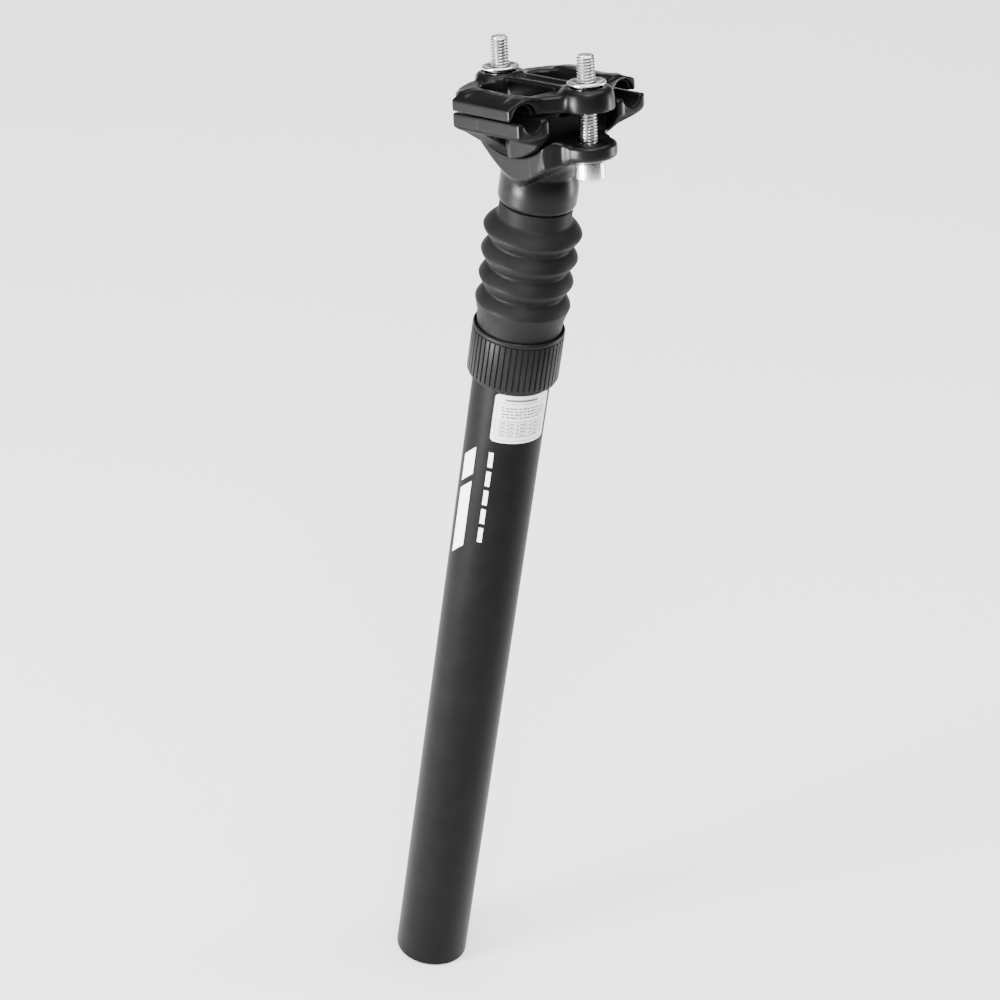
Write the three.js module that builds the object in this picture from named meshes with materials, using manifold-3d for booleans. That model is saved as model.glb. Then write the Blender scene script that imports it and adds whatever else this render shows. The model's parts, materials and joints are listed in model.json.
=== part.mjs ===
// Suspension seatpost: a 27.2 mm tube with a sprung shaft, a rubber boot and a two-bolt saddle clamp.
// Millimetres, +Z up the tube, +X forward, +Y left. The origin is the centre of the tube's lower end.

import * as THREE from 'three';
import { mergeVertices } from 'three/addons/utils/BufferGeometryUtils.js';
import Module from 'manifold-3d';

const wasm = await Module();
wasm.setup();

// ---- driving dimensions ----

const GAP = 0.3;
const FINE = 40;
const COARSE = 24;
const SEAT_SEGMENTS = 64;
const BOSS_SEGMENTS = 28;
const ARC_SEGMENTS = 16;
const SPRING_STEPS_PER_TURN = 10;

const TUBE_RADIUS = 13.6;
const TUBE_BORE = 12.1;
const TUBE_LENGTH = 270;

const SHAFT_RADIUS = 10.8;
const SHAFT_BORE = 8.8;
const SHAFT_LOW = 178;
const SHAFT_HIGH = 333;
const KEYWAY_WIDTH = 4.2;
const KEYWAY_FLOOR = 9.9;
const RUNNING_GAP = 0.15;

const KEY = { width: 3.6, inner: 10.15, outer: 11.7, low: 225, high: 247 };
const BUSHING_LOW = 212;
const FLANGE_HEIGHT = 1.5;
const SEAL = { outer: 13.5, low: 272.1 };
const SLEEVE = { low: 178.5, high: 206 };
const TOP_OUT = { outer: 11.8, low: 206.2, high: 211.8 };

// The film of the label lies on the tube between two angles in degrees from the front.
const LABEL = { from: 115, to: 204, low: 239, high: 258, inner: 13.72, outer: 13.9 };

const COLLAR = { radius: 16.05, root: 15.5, bore: 13.9, low: 259.4, top: 279.2 };
const RIBS = { count: 50, low: 260.4, high: 277.5 };
const COLLAR_CHAMFER = 0.3;
const COLLAR_BEAD = 0.8;
const RIB_STOPS = { rise: 0.14, crest: 0.24, end: 0.76, fall: 0.86 };
const SHOULDER = { low: 274.3, high: 276.3, bore: 12.6, pocket: 15.05 };

const BOOT = { low: 276.6, high: 325.8, base: 14.75, neck: 12.5, neckLow: 320.4, wall: 1.3, bore: 11.05 };
const BOOT_CUFF = { high: 279, coneHigh: 283.5, coneRadius: 15.1 };
const BOOT_CRESTS = [16.45, 16.3, 16.6, 16.85];
const BOOT_VALLEY = 13.2;
const BOOT_FIRST_CREST = 288.4;
const BOOT_PITCH = 9.1;
const BOOT_SEGMENTS = 32;

const SPRING = { radius: 9.2, wire: 1.5, turns: 14, low: 31.9, high: 172.6 };
const UPPER_SEAT = { spigot: 7, spigotLength: 6, flange: 11.7, plug: 8.6, plugLength: 8 };
const LOWER_SEAT = { low: 26, flangeHigh: 30, top: 40, flange: 11.7, spigot: 7, tip: 6.6 };
const ELASTOMER = { radius: 5.5, low: 40.3, high: 134 };
const THRUST_WASHER = { inner: 5, outer: 11.4, high: 25.7 };
const SCREW = { low: 8, high: 23.5, radius: 11.8, socket: 8, socketDepth: 8 };

// The head's neck widens into a leaning cone, which trims the seat block.
const NECK = { radius: 13.4, low: 326.1, high: 345, boreGap: 0.2 };
const NECK_RELIEF = { radius: 11.4, slopeLow: 335.6, slopeHigh: 337.6, halfWidth: 11.6 };
const NECK_BEVEL = { width: 1.4, low: 0.6, high: 2.6 };
const FLARE = { low: 337.3, height: 22, widening: 0.96, lean: 0.295 };

// The clamp turns about an axis along Y; its own frame is u forward along the rails, v left, w up.
const TILT = { x: 6.8, z: 369.8, angle: THREE.MathUtils.degToRad(15) };
const SEAT_RADIUS = 25.5;
const SEAT_HALF_WIDTH = 14.1;
const SEAT_SIDE = [
  [-16.9, -17], [-16.8, -18.3], [-12.7, -29.5], [-7, -33], [-2, -36], [4, -36], [12, -30], [16.6, -22.5],
  [17.2, -17],
];
const RAIL = { v: 22, w: -9.3, radius: 3.6 };
const BEYOND = 40;

// The web of each ear: half of its [u, v] plan, and its [u, w] side view.
const REAR = {
  u: -22,
  earLow: -26.2,
  reach: 8.6,
  plan: [[-9, 14.1], [-15.2, 14.1], [-17.4, 12.3], [-19.6, 9.9], [-22, 9]],
  side: [
    [-9, -17.5], [-15.5, -17.7], [-17.5, -18.2], [-20.5, -19.6], [-22, -19.9], [-22, -26.2], [-19.5, -26.6],
    [-12.7, -29.5], [-9, -31],
  ],
};
const FRONT = {
  u: 19.5,
  earLow: -25,
  reach: 9.8,
  plan: [[9, 9], [19.5, 9]],
  side: [[9, -17.5], [16.6, -17.5], [18.5, -18.4], [19.5, -18.7], [19.5, -25], [9, -25]],
};
const EAR = { thickness: 6.3, radius: 9.2, bevelRadius: 6.2, bevelRise: 1.5 };
const EAR_HOLE_RADIUS = 3.6;
const EAR_RECESS = { radius: 5.8, depth: 2.5, below: 7, keyBelow: 16 };
const SWIVEL = { radius: 5.4, crown: 4.6, bore: 3.4, edge: 1.2, shoulder: 1.8, height: 2.1, lift: 0.1 };

// Sections of the cradle and of the clamp's wings are [v, w]; outlines seen from above are [u, v].
const CRADLE = { rear: -20, front: 12.5, top: -9.6, outer: 28.2 };
const TROUGH_SIDE = [
  [15, -26], [15, -19], [16.5, -18.8], [26.9, -15.2], [CRADLE.outer, -14.1], [CRADLE.outer, CRADLE.top],
];
const SLOPE_SIDE = [[15, -26], [15, -22.7], [17, -21.4], [CRADLE.outer, -14.1], [CRADLE.outer, CRADLE.top]];
const SLOPE_REAR = 0.3;
const CHEEK = { low: -26, high: -12.9 };
const CHEEK_PLAN = [[CRADLE.rear, 14.5], [CRADLE.rear, 17.5], [-3.4, 17.5], [-1, 16.8], [1.2, 14.6]];
const NOTCH = { front: -14.5, halfWidth: 15.2 };
const POCKET = { rear: -11.5, front: 9.5, halfWidth: 14, floor: -15 };
const BOSS_RELIEF = { radius: 9.7, floor: -11.8 };

const CLAMP = { rear: -15.5, front: 12.5, low: -9.1, outer: 28.2, inner: 15.6 };
const WING_TOP = [
  [28.2, -5.5], [27.4, -4.9], [24.5, -3.9], [21.5, -3.2], [18.6, -3], [16.4, -4.2], [15.6, -6.5],
];
const BAR_TOP = -3.6;
const FRONT_BAR = {
  inner: [[5.4, 20.5], [9.5, 19], [14.6, 12.6], [15.5, 6]],
  outer: [[8, 26], [14.6, 24.4], [18.6, 19.4], [21.6, 13.2], [23, 6]],
};
const REAR_BAR = {
  inner: [[-8.6, 20], [-11.3, 16], [-11.3, 3]],
  outer: [[-11, 25], [-15.5, 22], [-16.5, 14.5], [-20.5, 9], [-22, 3]],
};
const BOSS_BORE = 5.3;
const BOSS = [
  [0, -10.2], [7.8, -10.2], [8.7, -9.3], [9, -7.4], [8.7, -4.5], [8.1, -2.6], [7.3, -1.9], [0, -1.9],
];
const SPINE = { halfWidth: 4.3, top: -2.3 };

const BOLT_RADIUS = 3;
const BOLT_TIP = 0.7;
const BOLT_HEAD = { radius: 5, height: 6, socket: 5, socketDepth: 3, bevel: 0.45 };
const NUT = { flange: 6.35, neck: 5.3, sleeve: 4.4, bore: 3.4, low: -7, flangeLow: -1.2 };
const NUT_RIM = { low: -0.7, high: -0.25, top: 6.05 };

// ---- materials ----

function paint(color, roughness, metalness) {
  return new THREE.MeshStandardMaterial({ color, roughness, metalness });
}

const blackAnodised = () => paint(0x17181a, 0.45, 0.6);
const blackPaint = () => paint(0x101113, 0.35, 0.2);
const blackRubber = () => paint(0x1d1e20, 0.7, 0);
const blackPlastic = () => paint(0x222326, 0.55, 0);
const whitePlastic = () => paint(0xd9d8d0, 0.5, 0);
const steel = () => paint(0xb9bbbd, 0.3, 1);
const springSteel = () => paint(0x6d7075, 0.35, 1);
const silverFilm = () => paint(0xc9cbcc, 0.4, 0.3);
const amberRubber = () => paint(0xb07a2c, 0.6, 0);

// ---- solids ----

function positionsOnly(geometry) {
  const copy = geometry.clone();
  copy.deleteAttribute('normal');
  copy.deleteAttribute('uv');
  return mergeVertices(copy, 1e-4);
}

function isFlat(a, b, c) {
  return a === b || b === c || c === a;
}

function toSolid(geometry) {
  const merged = positionsOnly(geometry);
  const index = merged.index.array;
  const triangles = [];
  for (let i = 0; i < index.length; i += 3) {
    if (!isFlat(index[i], index[i + 1], index[i + 2])) {
      triangles.push(index[i], index[i + 1], index[i + 2]);
    }
  }
  const vertProperties = new Float32Array(merged.attributes.position.array);
  const triVerts = new Uint32Array(triangles);
  return new wasm.Manifold(new wasm.Mesh({ numProp: 3, vertProperties, triVerts }));
}

function toGeometry(solid) {
  const mesh = solid.getMesh();
  const geometry = new THREE.BufferGeometry();
  geometry.setAttribute('position', new THREE.BufferAttribute(new Float32Array(mesh.vertProperties), 3));
  geometry.setIndex(new THREE.BufferAttribute(new Uint32Array(mesh.triVerts), 1));
  geometry.computeVertexNormals();
  return geometry;
}

function join(...geometries) {
  return toGeometry(geometries.map(toSolid).reduce((sum, next) => sum.add(next)));
}

function cut(body, ...tools) {
  return toGeometry(tools.map(toSolid).reduce((rest, tool) => rest.subtract(tool), toSolid(body)));
}

function common(first, second) {
  return toGeometry(toSolid(first).intersect(toSolid(second)));
}

// A turned piece about Z. The [radius, height] outline runs anticlockwise and may touch the axis.
function turned(outline, segments = FINE) {
  const closed = outline[0][0] > 0 ? [...outline, outline[0]] : outline;
  const points = closed.map(([radius, height]) => new THREE.Vector2(radius, height));
  return new THREE.LatheGeometry(points, segments).rotateX(Math.PI / 2);
}

function ring(inner, outer, low, high, segments = FINE) {
  return turned([[inner, low], [outer, low], [outer, high], [inner, high]], segments);
}

function rod(radius, low, high, segments = COARSE) {
  return turned([[0, low], [radius, low], [radius, high], [0, high]], segments);
}

function outlineShape(points) {
  return new THREE.Shape(points.map(([x, y]) => new THREE.Vector2(x, y)));
}

function prism(shape, low, high) {
  const settings = { depth: high - low, bevelEnabled: false, curveSegments: ARC_SEGMENTS };
  return new THREE.ExtrudeGeometry(shape, settings).translate(0, 0, low);
}

// A [v, w] section drawn along u.
function alongU(section, rear, front) {
  const axes = new THREE.Matrix4().makeBasis(
    new THREE.Vector3(0, 1, 0), new THREE.Vector3(0, 0, 1), new THREE.Vector3(1, 0, 0));
  return prism(outlineShape(section), rear, front).applyMatrix4(axes);
}

// An [x, z] side view drawn to the same width on both sides.
function acrossY(shape, halfWidth) {
  const axes = new THREE.Matrix4().makeBasis(
    new THREE.Vector3(1, 0, 0), new THREE.Vector3(0, 0, 1), new THREE.Vector3(0, -1, 0));
  return prism(shape, -halfWidth, halfWidth).applyMatrix4(axes);
}

function block(rear, front, right, left, low, high) {
  const geometry = new THREE.BoxGeometry(front - rear, left - right, high - low);
  return geometry.translate((rear + front) / 2, (right + left) / 2, (low + high) / 2);
}

function barAlongV(radius) {
  return new THREE.CylinderGeometry(radius, radius, 2 * BEYOND, SEAT_SEGMENTS);
}

function barAlongU(radius, v, w) {
  const bar = new THREE.CylinderGeometry(radius, radius, 2 * BEYOND, COARSE);
  return bar.rotateZ(Math.PI / 2).translate(0, v, w);
}

function hexagon(acrossFlats, low, high) {
  const corners = [];
  for (let i = 0; i < 6; i += 1) {
    const angle = i * Math.PI / 3;
    const radius = acrossFlats / Math.sqrt(3);
    corners.push([radius * Math.cos(angle), radius * Math.sin(angle)]);
  }
  return prism(outlineShape(corners), low, high);
}

function tilted(geometry) {
  return geometry.rotateY(TILT.angle).translate(TILT.x, 0, TILT.z);
}

function piece(name, geometry, material) {
  const mesh = new THREE.Mesh(geometry, material);
  mesh.name = name;
  return mesh;
}

// ---- tube, collar and boot ----

function outerTube() {
  return ring(TUBE_BORE, TUBE_RADIUS, 0, TUBE_LENGTH);
}

function ribbedOutline() {
  const points = [];
  for (let rib = 0; rib < RIBS.count; rib += 1) {
    const pitch = 2 * Math.PI / RIBS.count;
    const stops = [
      [RIB_STOPS.rise, COLLAR.root],
      [RIB_STOPS.crest, COLLAR.radius],
      [RIB_STOPS.end, COLLAR.radius],
      [RIB_STOPS.fall, COLLAR.root],
    ];
    for (const [share, radius] of stops) {
      const angle = (rib + share) * pitch;
      points.push([radius * Math.cos(angle), radius * Math.sin(angle)]);
    }
  }
  return outlineShape(points);
}

function knurledCollar() {
  const ribs = ribbedOutline();
  const hidden = (SHOULDER.pocket + COLLAR.root) / 2;
  ribs.holes.push(new THREE.Path().absarc(0, 0, hidden, 0, 2 * Math.PI, true));
  const core = turned([
    [COLLAR.bore, COLLAR.low],
    [COLLAR.root - COLLAR_CHAMFER, COLLAR.low],
    [COLLAR.root, RIBS.low],
    [COLLAR.root, RIBS.high - COLLAR_CHAMFER],
    [COLLAR.radius, RIBS.high],
    [COLLAR.radius, RIBS.high + COLLAR_BEAD],
    [COLLAR.root, COLLAR.top],
    [SHOULDER.pocket, COLLAR.top],
    [SHOULDER.pocket, SHOULDER.high],
    [SHOULDER.bore, SHOULDER.high],
    [SHOULDER.bore, SHOULDER.low],
    [COLLAR.bore, SHOULDER.low],
  ]);
  return join(prism(ribs, RIBS.low, RIBS.high), core);
}

function boot() {
  const outside = [
    [BOOT.base, BOOT.low],
    [BOOT.base, BOOT_CUFF.high],
    [BOOT_CUFF.coneRadius, BOOT_CUFF.coneHigh],
  ];
  const inside = outside.map(([radius, height]) => [radius - BOOT.wall, height]);
  const stepsPerFold = 4;
  BOOT_CRESTS.forEach((crest, fold) => {
    const middle = BOOT_FIRST_CREST + fold * BOOT_PITCH;
    const firstStep = fold === 0 ? 0 : -1;
    for (let step = firstStep; step <= 2; step += 1) {
      const bulge = 0.5 + 0.5 * Math.cos(2 * Math.PI * step / stepsPerFold);
      const isLastValley = fold === BOOT_CRESTS.length - 1 && step === 2;
      if (!isLastValley) {
        const radius = BOOT_VALLEY + (crest - BOOT_VALLEY) * bulge;
        outside.push([radius, middle + BOOT_PITCH * step / stepsPerFold]);
      }
    }
    inside.push([crest - BOOT.wall, middle]);
    if (fold < BOOT_CRESTS.length - 1) {
      inside.push([BOOT_VALLEY - BOOT.wall, middle + BOOT_PITCH / 2]);
    }
  });
  outside.push([BOOT.neck, BOOT.neckLow], [BOOT.neck, BOOT.high]);
  inside.push([BOOT.bore, BOOT.neckLow], [BOOT.bore, BOOT.high]);
  return turned([...outside, ...inside.reverse()], BOOT_SEGMENTS);
}

function label() {
  const shape = new THREE.Shape();
  const from = THREE.MathUtils.degToRad(LABEL.from);
  const to = THREE.MathUtils.degToRad(LABEL.to);
  shape.absarc(0, 0, LABEL.outer, from, to, false);
  shape.absarc(0, 0, LABEL.inner, to, from, true);
  return prism(shape, LABEL.low, LABEL.high);
}

function wiperSeal() {
  return ring(SHAFT_RADIUS + RUNNING_GAP, SEAL.outer, SEAL.low, SHOULDER.low - GAP, COARSE);
}

function upperBushing() {
  const low = TUBE_LENGTH + GAP;
  const sleeve = turned([
    [SHAFT_RADIUS + RUNNING_GAP, BUSHING_LOW],
    [TUBE_BORE - RUNNING_GAP, BUSHING_LOW],
    [TUBE_BORE - RUNNING_GAP, low],
    [TUBE_RADIUS, low],
    [TUBE_RADIUS, low + FLANGE_HEIGHT],
    [SHAFT_RADIUS + RUNNING_GAP, low + FLANGE_HEIGHT],
  ]);
  const slot = KEY.width / 2 + GAP;
  return cut(sleeve, block(-slot, slot, -TUBE_RADIUS, TUBE_RADIUS, KEY.low - GAP, KEY.high + GAP));
}

function key(side) {
  const inner = Math.min(side * KEY.inner, side * KEY.outer);
  const outer = Math.max(side * KEY.inner, side * KEY.outer);
  return block(-KEY.width / 2, KEY.width / 2, inner, outer, KEY.low, KEY.high);
}

// ---- sliding shaft and spring ----

function innerShaft() {
  const half = Math.asin(KEYWAY_WIDTH / 2 / SHAFT_RADIUS);
  const shape = new THREE.Shape();
  for (const side of [1, -1]) {
    const start = side > 0 ? -Math.PI / 2 + half : Math.PI / 2 + half;
    shape.absarc(0, 0, SHAFT_RADIUS, start, start + Math.PI - 2 * half, false);
    shape.lineTo(side * KEYWAY_WIDTH / 2, side * KEYWAY_FLOOR);
    shape.lineTo(-side * KEYWAY_WIDTH / 2, side * KEYWAY_FLOOR);
  }
  shape.closePath();
  shape.holes.push(new THREE.Path().absarc(0, 0, SHAFT_BORE, 0, 2 * Math.PI, true));
  return prism(shape, SHAFT_LOW, SHAFT_HIGH);
}

function shaftSleeve() {
  return ring(SHAFT_RADIUS + RUNNING_GAP, TUBE_BORE - RUNNING_GAP, SLEEVE.low, SLEEVE.high, COARSE);
}

function topOutRing() {
  return ring(SHAFT_RADIUS + RUNNING_GAP, TOP_OUT.outer, TOP_OUT.low, TOP_OUT.high, COARSE);
}

function upperSpringSeat() {
  const flangeLow = SPRING.high + SPRING.wire + GAP;
  return turned([
    [0, flangeLow - UPPER_SEAT.spigotLength],
    [UPPER_SEAT.spigot, flangeLow - UPPER_SEAT.spigotLength],
    [UPPER_SEAT.spigot, flangeLow],
    [UPPER_SEAT.flange, flangeLow],
    [UPPER_SEAT.flange, SHAFT_LOW - GAP],
    [UPPER_SEAT.plug, SHAFT_LOW - GAP],
    [UPPER_SEAT.plug, SHAFT_LOW + UPPER_SEAT.plugLength],
    [0, SHAFT_LOW + UPPER_SEAT.plugLength],
  ], COARSE);
}

class Helix extends THREE.Curve {
  getPoint(share, target = new THREE.Vector3()) {
    const angle = 2 * Math.PI * SPRING.turns * share;
    const height = SPRING.low + (SPRING.high - SPRING.low) * share;
    return target.set(SPRING.radius * Math.cos(angle), SPRING.radius * Math.sin(angle), height);
  }
}

function mainSpring() {
  const wire = new THREE.Shape().absarc(0, 0, SPRING.wire, 0, 2 * Math.PI, false);
  return new THREE.ExtrudeGeometry(wire, {
    extrudePath: new Helix(),
    steps: SPRING.turns * SPRING_STEPS_PER_TURN,
    curveSegments: 3,
    bevelEnabled: false,
  });
}

function elastomerRod() {
  return rod(ELASTOMER.radius, ELASTOMER.low, ELASTOMER.high);
}

function lowerSpringSeat() {
  return turned([
    [0, LOWER_SEAT.low],
    [LOWER_SEAT.flange, LOWER_SEAT.low],
    [LOWER_SEAT.flange, LOWER_SEAT.flangeHigh],
    [LOWER_SEAT.spigot, LOWER_SEAT.flangeHigh],
    [LOWER_SEAT.tip, LOWER_SEAT.top],
    [0, LOWER_SEAT.top],
  ], COARSE);
}

function thrustWasher() {
  return ring(THRUST_WASHER.inner, THRUST_WASHER.outer, SCREW.high + GAP, THRUST_WASHER.high, COARSE);
}

function preloadScrew() {
  const plug = rod(SCREW.radius, SCREW.low, SCREW.high, FINE);
  return cut(plug, hexagon(SCREW.socket, SCREW.low - 1, SCREW.low + SCREW.socketDepth));
}

// ---- head ----

function headNeck() {
  return turned([
    [0, NECK.low],
    [NECK.radius - NECK_BEVEL.width, NECK.low],
    [NECK.radius - NECK_BEVEL.width / 2, NECK.low + NECK_BEVEL.low],
    [NECK.radius, NECK.low + NECK_BEVEL.high],
    [NECK.radius, NECK.high],
    [0, NECK.high],
  ]);
}

function headFlare() {
  const cone = turned([
    [0, 0],
    [NECK.radius, 0],
    [NECK.radius + FLARE.widening * FLARE.height, FLARE.height],
    [0, FLARE.height],
  ]);
  const lean = new THREE.Matrix4().makeShear(0, 0, 0, 0, FLARE.lean, 0);
  return cone.applyMatrix4(lean).translate(0, 0, FLARE.low);
}

function seatBlock() {
  return common(tilted(acrossY(outlineShape(SEAT_SIDE), SEAT_HALF_WIDTH)), headFlare());
}

function neckRelief() {
  const { radius, slopeLow, slopeHigh, halfWidth } = NECK_RELIEF;
  const top = NECK.high + 1;
  const waist = turned([
    [radius, slopeHigh],
    [radius + slopeHigh - slopeLow, slopeLow],
    [BEYOND, slopeLow],
    [BEYOND, top],
    [radius, top],
  ]);
  return common(waist, block(-BEYOND, 0, -halfWidth, halfWidth, slopeLow - 1, top + 1));
}

function earWeb(bolt) {
  const mirrored = bolt.plan.map(([u, v]) => [u, -v]).reverse();
  const plan = prism(outlineShape([...bolt.plan, ...mirrored]), -BEYOND, 0);
  return common(plan, acrossY(outlineShape(bolt.side), BEYOND));
}

function earEnd(bolt) {
  const end = turned([
    [0, bolt.earLow],
    [EAR.bevelRadius, bolt.earLow],
    [EAR.radius, bolt.earLow + EAR.bevelRise],
    [EAR.radius, bolt.earLow + EAR.thickness],
    [0, bolt.earLow + EAR.thickness],
  ]);
  return end.translate(bolt.u, 0, 0);
}

function ear(bolt) {
  return tilted(join(earWeb(bolt), earEnd(bolt)));
}

function boltHoles(bolt) {
  const hole = rod(EAR_HOLE_RADIUS, bolt.earLow - EAR_RECESS.keyBelow, 0);
  const recess = rod(EAR_RECESS.radius, bolt.earLow - EAR_RECESS.below, bolt.earLow + EAR_RECESS.depth);
  return [tilted(hole.translate(bolt.u, 0, 0)), tilted(recess.translate(bolt.u, 0, 0))];
}

function postHead() {
  const casting = join(cut(headNeck(), neckRelief()), seatBlock(), ear(REAR), ear(FRONT));
  const seat = tilted(barAlongV(SEAT_RADIUS));
  const bore = rod(SHAFT_RADIUS + NECK.boreGap, NECK.low - 1, SHAFT_HIGH + GAP, FINE);
  return cut(casting, seat, bore, ...boltHoles(REAR), ...boltHoles(FRONT));
}

function swivelWasher(bolt) {
  const low = bolt.earLow + SWIVEL.lift;
  const washer = turned([
    [SWIVEL.bore, low],
    [SWIVEL.radius, low],
    [SWIVEL.radius, low + SWIVEL.edge],
    [SWIVEL.crown, low + SWIVEL.shoulder],
    [SWIVEL.bore, low + SWIVEL.height],
  ], COARSE);
  return washer.translate(bolt.u, 0, 0);
}

// ---- clamp ----

// The outline of one side, carried on over the other side.
function mirroredSection(half) {
  return [...half, ...half.map(([v, w]) => [-v, w]).reverse()];
}

function mirroredPlan(half) {
  return [...half, ...half.map(([u, v]) => [u, -v]).reverse()];
}

function railChannels() {
  return [barAlongU(RAIL.radius, RAIL.v, RAIL.w), barAlongU(RAIL.radius, -RAIL.v, RAIL.w)];
}

function cradleCheek(side) {
  return prism(outlineShape(CHEEK_PLAN.map(([u, v]) => [u, side * v])), CHEEK.low, CHEEK.high);
}

function lowerCradle() {
  const trough = alongU(mirroredSection(TROUGH_SIDE), CRADLE.rear, CRADLE.front);
  const slope = alongU(mirroredSection(SLOPE_SIDE), SLOPE_REAR, CRADLE.front);
  const whole = join(trough, slope, cradleCheek(1), cradleCheek(-1));
  const casting = common(whole, barAlongV(SEAT_RADIUS - GAP));
  const notch = block(CRADLE.rear - 1, NOTCH.front, -NOTCH.halfWidth, NOTCH.halfWidth, -BEYOND, 0);
  const pocket = block(POCKET.rear, POCKET.front, -POCKET.halfWidth, POCKET.halfWidth, POCKET.floor, 0);
  const relief = (bolt) => rod(BOSS_RELIEF.radius, BOSS_RELIEF.floor, 0).translate(bolt.u, 0, 0);
  return cut(casting, notch, pocket, relief(REAR), relief(FRONT), ...railChannels());
}

function wing(side) {
  const section = [[CLAMP.inner, CLAMP.low], [CLAMP.outer, CLAMP.low], ...WING_TOP];
  return alongU(section.map(([v, w]) => [side * v, w]), CLAMP.rear, CLAMP.front);
}

function clampBoss(bolt) {
  return turned(BOSS, BOSS_SEGMENTS).translate(bolt.u, 0, 0);
}

function crossBar(bar) {
  const outline = [...mirroredPlan(bar.inner), ...mirroredPlan(bar.outer).reverse()];
  return prism(outlineShape(outline), CLAMP.low, BAR_TOP);
}

function upperClamp() {
  const spine = block(REAR.u, FRONT.u, -SPINE.halfWidth, SPINE.halfWidth, CLAMP.low, SPINE.top);
  const casting = join(wing(1), wing(-1), crossBar(REAR_BAR), crossBar(FRONT_BAR),
    clampBoss(REAR), clampBoss(FRONT), spine);
  const bore = (bolt) => rod(BOSS_BORE, -BEYOND, BEYOND).translate(bolt.u, 0, 0);
  return cut(casting, bore(REAR), bore(FRONT), ...railChannels());
}

function flangedNut(bolt) {
  const nut = turned([
    [NUT.bore, NUT.low],
    [NUT.sleeve, NUT.low],
    [NUT.sleeve, NUT.flangeLow],
    [NUT.neck, NUT.flangeLow],
    [NUT.flange, NUT_RIM.low],
    [NUT.flange, NUT_RIM.high],
    [NUT_RIM.top, 0],
    [NUT.bore, 0],
  ], COARSE);
  return nut.translate(bolt.u, 0, 0);
}

function capScrew(bolt) {
  const under = bolt.earLow - GAP;
  const low = under - BOLT_HEAD.height;
  const body = turned([
    [0, low],
    [BOLT_HEAD.radius - BOLT_HEAD.bevel, low],
    [BOLT_HEAD.radius, low + BOLT_HEAD.bevel],
    [BOLT_HEAD.radius, under],
    [BOLT_RADIUS, under],
    [BOLT_RADIUS, bolt.reach - BOLT_TIP],
    [BOLT_RADIUS - BOLT_TIP, bolt.reach],
    [0, bolt.reach],
  ], COARSE);
  const screw = cut(body, hexagon(BOLT_HEAD.socket, low - 1, low + BOLT_HEAD.socketDepth));
  return screw.translate(bolt.u, 0, 0);
}

// ---- assembly ----

function clampGroup() {
  const group = new THREE.Group();
  group.position.set(TILT.x, 0, TILT.z);
  group.rotation.y = TILT.angle;
  group.add(piece('lower_cradle', lowerCradle(), blackPaint()));
  group.add(piece('upper_clamp', upperClamp(), blackPaint()));
  for (const [end, bolt] of [['front', FRONT], ['rear', REAR]]) {
    group.add(piece(`swivel_washer_${end}`, swivelWasher(bolt), steel()));
    group.add(piece(`bolt_${end}`, capScrew(bolt), steel()));
    group.add(piece(`nut_${end}`, flangedNut(bolt), steel()));
  }
  return group;
}

function seatpost() {
  const group = new THREE.Group();
  group.add(piece('outer_tube', outerTube(), blackAnodised()));
  group.add(piece('label', label(), silverFilm()));
  group.add(piece('knurled_collar', knurledCollar(), blackPlastic()));
  group.add(piece('boot', boot(), blackRubber()));
  group.add(piece('wiper_seal', wiperSeal(), blackRubber()));
  group.add(piece('upper_bushing', upperBushing(), whitePlastic()));
  group.add(piece('key_left', key(1), steel()));
  group.add(piece('key_right', key(-1), steel()));
  group.add(piece('inner_shaft', innerShaft(), blackAnodised()));
  group.add(piece('shaft_sleeve', shaftSleeve(), whitePlastic()));
  group.add(piece('top_out_ring', topOutRing(), blackRubber()));
  group.add(piece('upper_spring_seat', upperSpringSeat(), blackPlastic()));
  group.add(piece('main_spring', mainSpring(), springSteel()));
  group.add(piece('elastomer_rod', elastomerRod(), amberRubber()));
  group.add(piece('lower_spring_seat', lowerSpringSeat(), blackPlastic()));
  group.add(piece('thrust_washer', thrustWasher(), steel()));
  group.add(piece('preload_screw', preloadScrew(), blackPlastic()));
  group.add(piece('post_head', postHead(), blackPaint()));
  group.add(clampGroup());
  return group;
}

export default seatpost();
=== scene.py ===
"""Looks of the suspension seatpost: soft castings, threads, bellows, ribs, label and finishes.

Shapes are worked out in millimetres in the part's frame and stored in metres.
"""

import json
import math

import bpy
import numpy as np
from mathutils import Matrix, Vector


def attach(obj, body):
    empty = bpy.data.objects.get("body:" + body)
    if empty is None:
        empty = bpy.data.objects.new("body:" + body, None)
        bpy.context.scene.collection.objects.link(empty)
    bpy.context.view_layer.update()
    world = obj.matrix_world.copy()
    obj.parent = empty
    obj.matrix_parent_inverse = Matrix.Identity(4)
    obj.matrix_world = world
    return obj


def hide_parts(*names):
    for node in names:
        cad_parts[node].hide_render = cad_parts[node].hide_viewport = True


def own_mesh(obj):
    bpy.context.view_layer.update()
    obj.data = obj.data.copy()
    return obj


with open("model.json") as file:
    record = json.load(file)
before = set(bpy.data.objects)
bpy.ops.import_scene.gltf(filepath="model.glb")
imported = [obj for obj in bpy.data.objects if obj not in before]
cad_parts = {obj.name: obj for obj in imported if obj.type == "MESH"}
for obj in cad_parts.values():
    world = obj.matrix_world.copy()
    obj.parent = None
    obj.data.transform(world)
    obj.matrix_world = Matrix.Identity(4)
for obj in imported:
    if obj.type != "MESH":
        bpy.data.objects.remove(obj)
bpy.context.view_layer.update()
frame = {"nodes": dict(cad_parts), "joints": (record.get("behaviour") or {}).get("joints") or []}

MM = 0.001
JOINTS = {joint["name"]: joint for joint in frame["joints"]}

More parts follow.
